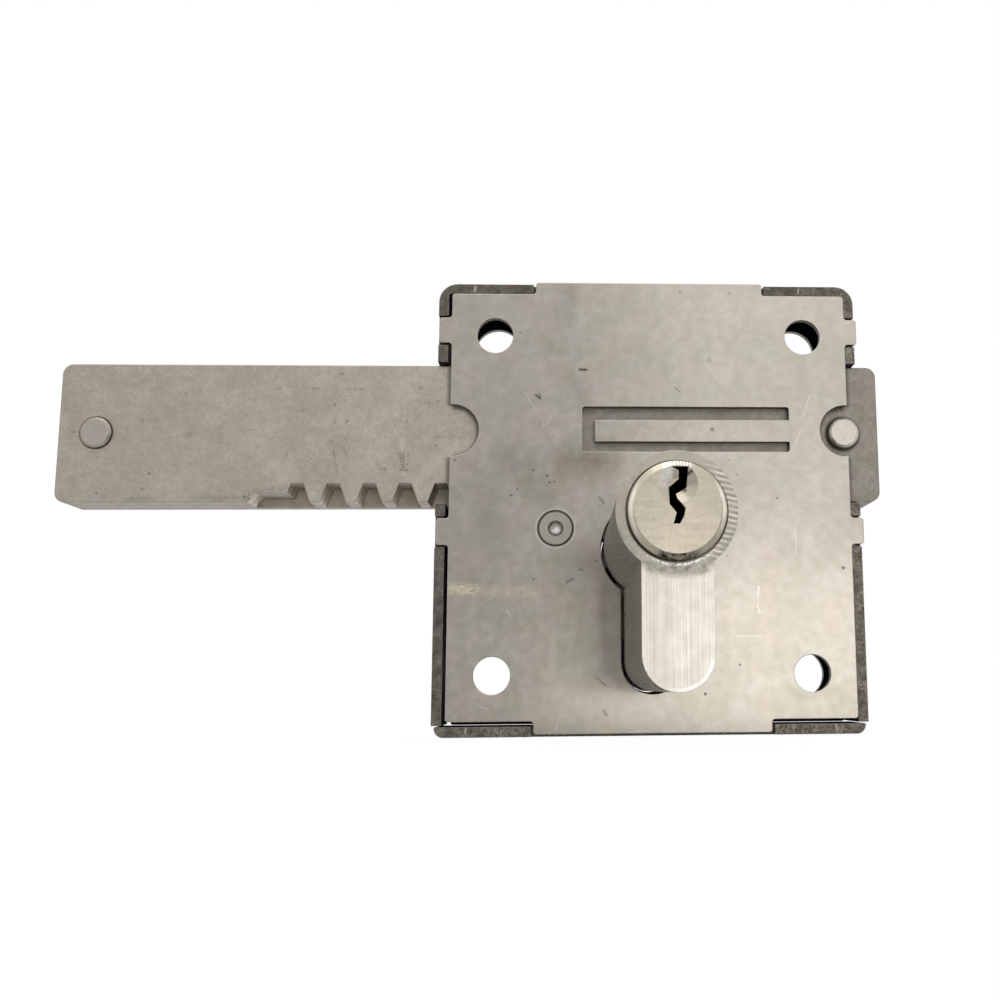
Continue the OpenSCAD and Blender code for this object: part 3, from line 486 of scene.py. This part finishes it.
def nickel_body(colour):
    """Satin nickel plate on brass: smooth drawn sides, and a milled front face with cutter marks."""
    f = Finish("satin nickel, milled face")
    soft, edge = f.edges(0.1)
    front = f.facing(TO_FRONT, 0.8, 0.97)
    rim = f.fade(f.reach(0, AXIS_Z), 9.6, 8.4)
    stem = f.all_of(front, f.outside(rim))
    # Lines that the milling cutter leaves down the stem, 0.2 to 0.6 mm apart
    lines = f.grain(0.24, 0, 1, stretch=(1, 1, 0.012), detail=3, width=0.16)
    bands = f.grain(1.1, 0, 1, stretch=(1, 1, 0.02), detail=2, width=0.12)
    # Ripples of the same cutter across the right of the rim, 0.78 mm apart, and a fine hatch on its left
    slant = f.sum_of(f.all_of(f.x, 0.22), f.z)
    ripple = f.all_of(f.wave(slant, 0.78), f.fade(f.x, 3.2, 6.0), rim, f.grain(1.3, 0.4, 1.1))
    hatch = f.all_of(f.grain(0.28, 0, 1, stretch=(0.25, 1, 1), detail=2), f.fade(f.x, -2.0, -5.5), rim)
    # Painted shade: the faces other than the front are a dark copy of the nickel
    tone = f.coat(f.coat("#746d64", "#b8b2a5", front), colour, stem)
    tone = f.shade(f.shade(tone, f.grain(7, 0.95, 1.04)), f.grain(0.6, 0.97, 1.03))
    tone = f.coat(tone, "#97907f", stem, lines, 0.24)
    tone = f.coat(tone, "#a8a08d", stem, bands, 0.2)
    tone = f.coat(tone, "#8f8c80", front, hatch, 0.3)
    tone = f.coat(tone, "#827d73", front, f.fade(ripple, 0.0, 0.9), 0.6)
    tone = f.coat(tone, "#f3efe6", front, f.fade(ripple, -0.2, -0.9, 0, 0.6))
    # A mottled grey patch on the lower rim, where rim and stem meet
    low = f.all_of(f.ring(0, AXIS_Z, 8.3, 0.75), f.fade(f.z, AXIS_Z - 1, AXIS_Z - 4), 0.5)
    grey_patch = f.all_of(f.any_of(low, f.strokes(RIM_GREY_STROKES)), f.grain(0.55, 0.2, 1, detail=5, width=0.12))
    tone = f.coat(tone, "#77756f", front, grey_patch)
    # Bright flecks along the bottom of the plug's seat, a painted highlight in an arc round the stem's end, and a
    # painted highlight on the edges
    flecks = f.all_of(f.ring(0, AXIS_Z, 7.35, 0.32), f.fade(f.z, AXIS_Z - 5.2, AXIS_Z - 6.4),
                      f.grain(0.3, 0, 1, width=0.06))
    arc = f.all_of(f.ring(0, STEM_END_Z, STEM_R - 0.25, 0.55), f.fade(f.z, STEM_END_Z, STEM_END_Z - 1.2),
                   f.fade(f.x, -1.6, 0.4, 0.15, 1))
    flecks_and_glint = f.all_of(front, f.any_of(flecks, arc))
    tone = f.coat(tone, "#fbf9f4", f.any_of(flecks_and_glint, f.all_of(edge, 0.55)))
    height = f.all_of(front, f.sum_of(f.all_of(lines, stem, 0.4), hatch, ripple))
    rough = f.sum_of(f.grain(2.0, 0.24, 0.32), f.all_of(front, 0.1))
    return f.finish(tone, rough, height, 0.02, soft)


def nickel_plug(colour):
    """Satin nickel plate on a turned brass plug: plate outside, raw brass where the keyway is cut through it."""
    f = Finish("satin nickel plug")
    soft, edge = f.edges(0.08)
    face = f.facing(TO_FRONT, 0.9, 0.99)
    reach = f.reach(0, AXIS_Z)
    side = f.apart(f.x, 0)
    tone = f.shade(f.shade(colour, f.grain(3.5, 0.95, 1.04)), f.grain(0.5, 0.965, 1.03, detail=4))
    tone = f.coat(tone, "#8f8471", face, f.grain(0.5, 0, 0.22, stretch=(0.12, 1, 1), detail=2))
    # Painted shade: the plug darkens towards the right
    tone = f.shade(tone, f.fade(f.x, 0.5, 5.0, 1.0, 0.88))
    # A painted highlight on the bevel's sides and painted shade at its bottom
    bevel = f.all_of(f.fade(reach, PLUG_R - 0.92, PLUG_R - 0.8), f.fade(f.y, FACE_Y + 0.4, FACE_Y - 0.2))
    bright = f.all_of(f.fade(side, 5.0, 6.1), f.grain(1.3, 0.6, 1), f.ring(0, AXIS_Z, PLUG_R - 0.5, 0.42))
    tone = f.coat(tone, "#fff8ea", bevel, bright)
    bottom = f.all_of(f.fade(f.z, AXIS_Z - 5.2, AXIS_Z - 6.0), f.fade(side, 3.4, 2.2))
    tone = f.coat(tone, "#2a211a", bevel, bottom, f.grain(0.7, 0.3, 1.2))
    # The lead-in cone gets a painted highlight on its left, and its flutes are painted dark as shaded facets
    cone = f.all_of(f.fade(f.reach(*LEAD_IN), 2.8, 2.65), f.outside(face))
    left = f.all_of(f.fade(f.x, -0.4, -0.8), f.fade(f.z, LEAD_IN[1] - 1.1, LEAD_IN[1] - 0.3))
    tone = f.coat(tone, "#fffbf4", cone, left, f.grain(0.5, 0.5, 1.2))
    tone = f.coat(tone, "#3a3733", cone, f.strokes(CONE_FLUTES, LEAD_IN))
    # Bright upset edge above the keyway, knurled by the cutter at 0.42 mm
    band = f.all_of(f.fade(f.z, AXIS_Z + 5.7, AXIS_Z + 5.95), f.fade(side, 2.3, 1.9),
                    f.fade(f.y, FACE_Y + 0.6, FACE_Y + 0.2))
    teeth = f.wave(f.x, 0.42)
    tone = f.coat(tone, "#fffaf0", band, f.fade(teeth, -0.4, 0.5, 0.25, 0.95))
    # Raw brass between the two faces, a painted highlight on the edges, and tarnish in the gap round the head
    brass = f.all_of(f.fade(f.y, FACE_Y - 1.3, FACE_Y + 0.5), f.fade(f.y, BACK_Y + 1.3, BACK_Y - 0.5))
    tone = f.coat(tone, "#8a6a35", brass, f.fade(reach, PLUG_SEAT_R, PLUG_SEAT_R - 0.06))
    tone = f.coat(tone, "#f6f2ea", edge, 0.35)
    tone = f.coat(tone, "#2e1d12", f.fade(reach, PLUG_R - 0.14, PLUG_R - 0.02), 0.9)
    height = f.sum_of(f.grain(0.4, 0, 0.3, detail=4), f.all_of(band, teeth))
    return f.finish(tone, f.grain(1.4, 0.2, 0.3), height, 0.012, soft)


def small_part(name, colour, rough, size):
    """Sintered, phosphated or drawn metal parts: an even skin with the grain of how they were made."""
    f = Finish(name)
    soft, edge = f.edges(0.08)
    tone = f.shade(colour, f.grain(size, 0.86, 1.1, detail=4))
    # Painted highlight along the edges
    tone = f.coat(tone, "#d8d2c6", edge, 0.35)
    return f.finish(tone, f.grain(size * 2, rough - 0.06, rough + 0.08), f.grain(size, 0, 1), 0.01, soft)


def dress(nodes, material):
    """Gives carried-over nodes a material."""
    for name in nodes:
        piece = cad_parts[name]
        piece.data.materials.clear()
        piece.data.materials.append(material)


def sizes():
    return bpy.context.scene.deadbolt


class DeadboltSizes(bpy.types.PropertyGroup):
    sheet_colour: FloatVectorProperty(
        name="Sheet", description="Colour of the stainless plates", subtype="COLOR", size=3,
        default=linear("#cac4b9"))
    scale_colour: FloatVectorProperty(
        name="Mill scale", description="Colour of the scale on the walls", subtype="COLOR", size=3,
        default=linear("#47433d"))
    bolt_colour: FloatVectorProperty(
        name="Bolt", description="Colour of the blasted bolt", subtype="COLOR", size=3,
        default=linear("#cbc4b7"))
    nickel_colour: FloatVectorProperty(
        name="Nickel", description="Colour of the cylinder's plating", subtype="COLOR", size=3,
        default=linear("#f1ebe0"))
    wire: FloatProperty(
        name="Spring wire", description="Diameter of the springs' wire", unit="LENGTH",
        default=0.4 * MM, min=0.1 * MM, max=0.6 * MM)
    turns: IntProperty(
        name="Spring turns", description="Turns of each spring", default=9, min=3, max=16)
    lamp: FloatProperty(
        name="Lamps", description="Share of the lamps' full power", default=1.0, min=0, max=5)


class DEADBOLT_OT_case(bpy.types.Operator):
    """Finishes the plates, the wall band, the bottom strip, the pillar and the screws"""
    bl_idname = "deadbolt.case"
    bl_label = "Case"

    def execute(self, context):
        sheet = rolled_stainless(sizes().sheet_colour)
        dress(["front_plate"], sheet)
        dress(["back_plate"], sheet)
        dress(["case_band", "bottom_strip"], mill_scale(sizes().scale_colour))
        dress(["spacer_pillar"], ground_stainless("turned stainless bar", "#b0aca4", 0.34, 0.3))
        screw = ground_stainless("machined stainless screw", "#b3aea4", 0.3, 0.4, SCREW)
        dress(["case_screws"], screw)
        return {"FINISHED"}


class DEADBOLT_OT_bolt(bpy.types.Operator):
    """Finishes the bolt's three layers and its two pins"""
    bl_idname = "deadbolt.bolt"
    bl_label = "Bolt"

    def execute(self, context):
        layers = ["bolt_front_layer", "bolt_middle_layer", "bolt_rear_layer"]
        dress(layers, blasted_stainless(sizes().bolt_colour))
        # The pins are brighter than the bolt, and the stop pin shines where it strikes the plate
        dress(["nose_pin"], ground_stainless("tumbled stainless pin", "#c4bdb2", 0.42, 0.5))
        dress(["stop_pin"], ground_stainless("ground stainless pin", "#d6d0c6", 0.36, 0.6))
        return {"FINISHED"}


class DEADBOLT_OT_cylinder(bpy.types.Operator):
    """Finishes the cylinder's body, its plugs and the pieces inside it"""
    bl_idname = "deadbolt.cylinder"
    bl_label = "Cylinder"

    def execute(self, context):
        dress(["cylinder_body"], nickel_body(sizes().nickel_colour))
        dress(["front_plug", "back_plug"], nickel_plug("#cec5b3"))
        # Sintered steel is matt grey with open grain, spring steel near black, and turned brass yellow and bright
        dress(["gear_cam"], small_part("sintered steel cam", "#8c8780", 0.42, 0.5))
        clutch = small_part("sintered steel clutch", "#8f8b84", 0.42, 0.5)
        dress(["front_clutch", "back_clutch"], clutch)
        spring_steel = small_part("phosphated spring steel", "#55524c", 0.5, 0.3)
        dress(["front_circlip", "back_circlip"], spring_steel)
        brass = small_part("turned brass pin", "#c8a855", 0.25, 0.35)
        dress(["front_key_pins", "back_key_pins", "front_driver_pins", "back_driver_pins",
               "front_stoppers", "back_stoppers"], brass)
        return {"FINISHED"}


def coil_tree(material):
    """Geometry Nodes tree of one row of coil springs: a spiral swept with round wire, repeated along Y."""
    tree = bpy.data.node_groups.new("coil_springs", "GeometryNodeTree")
    face = tree.interface
    face.new_socket("Geometry", in_out="OUTPUT", socket_type="NodeSocketGeometry")
    for name, kind in (("Turns", "Int"), ("Mean radius", "Float"), ("Height", "Float"), ("Wire radius", "Float"),
                       ("Count", "Int"), ("Start", "Vector"), ("Step", "Vector")):
        face.new_socket(name, in_out="INPUT", socket_type="NodeSocket" + kind)
    given = {s.name: s for s in tree.nodes.new("NodeGroupInput").outputs}
    spiral = add(tree, "GeometryNodeCurveSpiral", {
        "Resolution": 24, "Rotations": given["Turns"], "Start Radius": given["Mean radius"],
        "End Radius": given["Mean radius"], "Height": given["Height"]})
    section = add(tree, "GeometryNodeCurvePrimitiveCircle", {"Resolution": 8, "Radius": given["Wire radius"]})
    coil = add(tree, "GeometryNodeCurveToMesh", {"Curve": spiral, "Profile Curve": section, "Fill Caps": True})
    row = add(tree, "GeometryNodeMeshLine", {
        "Count": given["Count"], "Start Location": given["Start"], "Offset": given["Step"]}, mode="OFFSET")
    row = add(tree, "GeometryNodeInstanceOnPoints", {"Points": row, "Instance": coil})
    solid = add(tree, "GeometryNodeRealizeInstances", {"Geometry": row})
    solid = add(tree, "GeometryNodeSetMaterial", {"Geometry": solid, "Material": material})
    tree.links.new(solid, tree.nodes.new("NodeGroupOutput").inputs[0])
    return tree


def grown(name, tree, values):
    """Runs a Geometry Nodes tree with the given inputs, and keeps the result as a plain mesh."""
    base = bpy.data.objects.new(name, bpy.data.meshes.new(name))
    bpy.context.scene.collection.objects.link(base)
    modifier = base.modifiers.new("shape", "NODES")
    modifier.node_group = tree
    for item in tree.interface.items_tree:
        if item.in_out == "INPUT":
            modifier[item.identifier] = values[item.name]
    seen = base.evaluated_get(bpy.context.evaluated_depsgraph_get())
    mesh = bpy.data.meshes.new_from_object(seen)
    base.modifiers.clear()
    base.data = mesh
    return base


class DEADBOLT_OT_springs(bpy.types.Operator):
    """Winds the coil springs that stand for the sleeves under the driver pins"""
    bl_idname = "deadbolt.springs"
    bl_label = "Springs"

    def execute(self, context):
        tree = coil_tree(small_part("drawn bronze wire", "#a8854f", 0.26, 0.3))
        wire = sizes().wire
        for end, count in (("front", 6), ("back", 5)):
            low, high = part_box(f"{end}_springs")
            radius = (high.x - low.x) / 2
            step = (high.y - low.y - 2 * radius) / (count - 1)
            piece = grown(f"{end}_coils", tree, {
                "Turns": sizes().turns, "Mean radius": radius - wire / 2, "Height": high.z - low.z - wire,
                "Wire radius": wire / 2, "Count": count, "Step": (0, step, 0),
                "Start": (0, low.y + radius, low.z + wire / 2)})
            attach(piece, "case")
            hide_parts(f"{end}_springs")
        return {"FINISHED"}


def lamp(name, place, aim, size, watts, colour):
    """A soft rectangular lamp at a place, aimed at a point, both in metres."""
    light = bpy.data.lights.new(name, "AREA")
    light.shape = "RECTANGLE"
    light.size, light.size_y = size
    light.energy = watts
    light.color = linear(colour)
    lit = bpy.data.objects.new(name, light)
    lit.location = place
    lit.rotation_euler = (Vector(aim) - Vector(place)).to_track_quat("-Z", "Y").to_euler()
    bpy.context.scene.collection.objects.link(lit)


class DEADBOLT_OT_stage(bpy.types.Operator):
    """Lays the pale floor, and sets the sky, the lamps and the camera"""
    bl_idname = "deadbolt.stage"
    bl_label = "Stage"

    def execute(self, context):
        self.sky(context.scene)
        self.floor(context.scene)
        for name, place, aim, size, watts, colour in LAMPS:
            lamp(name, place, aim, size, watts * sizes().lamp, colour)
        self.camera(context.scene)
        context.scene.view_settings.view_transform = "Standard"
        return {"FINISHED"}

    def sky(self, scene):
        """White to the camera. In reflections, a studio that is dim in front and bright behind and above."""
        scene.world = bpy.data.worlds.new("studio")
        scene.world.use_nodes = True
        tree = scene.world.node_tree
        tree.nodes.clear()
        rays = add(tree, "ShaderNodeLightPath", out="Is Camera Ray").node.outputs
        way = add(tree, "ShaderNodeTexCoord", out="Generated")
        way = add(tree, "ShaderNodeSeparateXYZ", {0: way}, out="Y").node.outputs
        high = add(tree, "ShaderNodeMapRange", {"Value": way["Z"], "From Min": 0.05, "From Max": 0.4,
                                                "To Min": ROOM_GLOSS, "To Max": ROOM_GLOSS + HIGH_GLOSS})
        room = add(tree, "ShaderNodeMapRange", {"Value": way["Y"], "From Min": -0.35, "From Max": 0.25,
                                                "To Min": high, "To Max": 1.0})
        seen = add(tree, "ShaderNodeMath", {0: rays["Is Camera Ray"], 1: rays["Is Transmission Ray"]},
                   operation="MAXIMUM")
        level = add(tree, "ShaderNodeMix", {"Factor": rays["Is Glossy Ray"], "A": SKY_LIGHT, "B": room})
        level = add(tree, "ShaderNodeMix", {"Factor": seen, "A": level, "B": 1.0})
        sky = add(tree, "ShaderNodeBackground", {"Color": (1, 1, 1, 1), "Strength": level})
        tree.links.new(sky, tree.nodes.new("ShaderNodeOutputWorld").inputs[0])

    def floor(self, scene):
        """A plain pale floor under the case, white to the camera but for a faint shadow."""
        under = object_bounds()[0].z - 0.0002
        corners = [(-FLOOR_BACK, FLOOR_FRONT), (FLOOR_BACK, FLOOR_FRONT),
                   (FLOOR_BACK, FLOOR_BACK), (-FLOOR_BACK, FLOOR_BACK)]
        mesh = bpy.data.meshes.new("floor")
        mesh.from_pydata([(x, y, under) for x, y in corners], [], [(0, 1, 2, 3)])
        floor = bpy.data.objects.new("floor", mesh)
        scene.collection.objects.link(floor)
        mesh.materials.append(self.paint())
        floor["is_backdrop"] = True

    def paint(self):
        """Matt white floor paint. Metal shows it lit white behind the case, and plain in front of it."""
        material = bpy.data.materials.new("matt white floor")
        material.use_nodes = True
        material.cycles.emission_sampling = "NONE"
        tree = material.node_tree
        tree.nodes.clear()
        rays = add(tree, "ShaderNodeLightPath", out="Is Camera Ray").node.outputs
        paint = add(tree, "ShaderNodeBsdfDiffuse", {"Color": opaque("#f4f4f2")})
        white = add(tree, "ShaderNodeEmission", {"Color": (1, 1, 1, 1), "Strength": FLOOR_GLOW})
        place = add(tree, "ShaderNodeTexCoord", out="Object")
        depth = add(tree, "ShaderNodeSeparateXYZ", {0: place}, out="Y")
        behind = add(tree, "ShaderNodeMapRange", {"Value": depth, "From Min": 0.0, "From Max": 0.03})
        mirrored = add(tree, "ShaderNodeMath", {0: rays["Is Glossy Ray"], 1: behind}, operation="MULTIPLY")
        seen = add(tree, "ShaderNodeMath", {0: rays["Is Camera Ray"], 1: mirrored}, operation="MAXIMUM")
        share = add(tree, "ShaderNodeMath", {0: seen, 1: FLOOR_SHOWN}, operation="MULTIPLY")
        both = add(tree, "ShaderNodeMixShader", {0: share, 1: paint, 2: white})
        tree.links.new(both, tree.nodes.new("ShaderNodeOutputMaterial").inputs[0])
        return material

    def camera(self, scene):
        """The camera at the photograph's place, with its principal point as shift."""
        ahead, right = Vector(CAMERA_AHEAD).normalized(), Vector(CAMERA_RIGHT)
        right = (right - ahead * right.dot(ahead)).normalized()
        up = right.cross(ahead)
        data = bpy.data.cameras.new("camera")
        data.lens = FOCAL_PIXELS / PICTURE * data.sensor_width
        data.shift_x = 0.5 - CENTRE_PIXEL[0] / PICTURE
        data.shift_y = CENTRE_PIXEL[1] / PICTURE - 0.5
        data.clip_start = 0.01
        camera = bpy.data.objects.new("camera", data)
        turn = Matrix((right, up, -ahead)).transposed()
        camera.matrix_world = Matrix.Translation(Vector(CAMERA_PLACE) * MM) @ turn.to_4x4()
        scene.collection.objects.link(camera)
        scene.camera = camera


class DEADBOLT_PT_panel(bpy.types.Panel):
    """Lists the sizes, the colours and the steps"""
    bl_label = "Gate deadbolt"
    bl_idname = "DEADBOLT_PT_panel"
    bl_space_type = "VIEW_3D"
    bl_region_type = "UI"
    bl_category = "Deadbolt"

    def draw(self, context):
        for name in DeadboltSizes.__annotations__:
            self.layout.prop(context.scene.deadbolt, name)
        for step in STEPS:
            self.layout.operator(step.bl_idname)


STEPS = (DEADBOLT_OT_case, DEADBOLT_OT_bolt, DEADBOLT_OT_cylinder, DEADBOLT_OT_springs, DEADBOLT_OT_stage)
CLASSES = (DeadboltSizes, *STEPS, DEADBOLT_PT_panel)


def register():
    for each in CLASSES:
        bpy.utils.register_class(each)
    bpy.types.Scene.deadbolt = PointerProperty(type=DeadboltSizes)


def unregister():
    del bpy.types.Scene.deadbolt
    for each in reversed(CLASSES):
        bpy.utils.unregister_class(each)


def main():
    register()
    for step in STEPS:
        getattr(bpy.ops.deadbolt, step.bl_idname.split(".")[1])()


if __name__ == "__main__":
    main()
